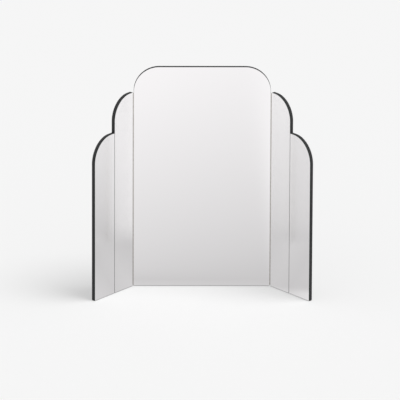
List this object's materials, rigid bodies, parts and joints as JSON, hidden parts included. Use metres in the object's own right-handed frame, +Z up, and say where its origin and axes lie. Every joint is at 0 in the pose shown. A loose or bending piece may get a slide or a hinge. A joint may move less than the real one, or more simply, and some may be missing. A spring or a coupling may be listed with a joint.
{
  "type": "tri-fold table mirror",
  "caption": "Tri-fold table mirror with an arched centre panel and two stepped wings that fold forward on piano hinges.",
  "frame": {"origin": "on the table, at the middle of the bounding box of the part as it stands with its wings folded forward", "axes": "+X to the viewer's right along the centre mirror, +Y away from the viewer so that the mirrors face -Y, +Z up"},
  "size_m": [0.692, 0.158, 0.726],
  "materials": {
    "painted_board": "satin",
    "mirror_glass": "polished",
    "mounting_tape": "matte",
    "felt": "matte",
    "nickel_hinge": "satin",
    "steel_pin": "satin",
    "plated_screws": "satin"
  },
  "bodies": {
    "centre": {"centre_board": "painted_board", "centre_mirror": "mirror_glass", "centre_mounting_tape": "mounting_tape", "centre_felt_strip": "felt", "left_hinge_centre_leaf": "nickel_hinge", "left_hinge_pin": "steel_pin", "left_hinge_centre_screws": "plated_screws", "right_hinge_centre_leaf": "nickel_hinge", "right_hinge_pin": "steel_pin", "right_hinge_centre_screws": "plated_screws"},
    "left_wing": {"left_board": "painted_board", "left_inner_mirror": "mirror_glass", "left_outer_mirror": "mirror_glass", "left_inner_tape": "mounting_tape", "left_outer_tape": "mounting_tape", "left_felt_strip": "felt", "left_hinge_wing_leaf": "nickel_hinge", "left_hinge_wing_screws": "plated_screws"},
    "right_wing": {"right_board": "painted_board", "right_inner_mirror": "mirror_glass", "right_outer_mirror": "mirror_glass", "right_inner_tape": "mounting_tape", "right_outer_tape": "mounting_tape", "right_felt_strip": "felt", "right_hinge_wing_leaf": "nickel_hinge", "right_hinge_wing_screws": "plated_screws"}
  },
  "joints": [
    {"name": "left_wing_fold", "type": "hinge", "parent": "centre", "child": "left_wing", "pos_m": [-0.2158, 0.06595, 0.32], "axis": [0, 0, 1], "range_deg": [-50.5, 129.5]},
    {"name": "right_wing_fold", "type": "hinge", "parent": "centre", "child": "right_wing", "pos_m": [0.2158, 0.06595, 0.32], "axis": [0, 0, -1], "range_deg": [-50.5, 129.5]}
  ]
}
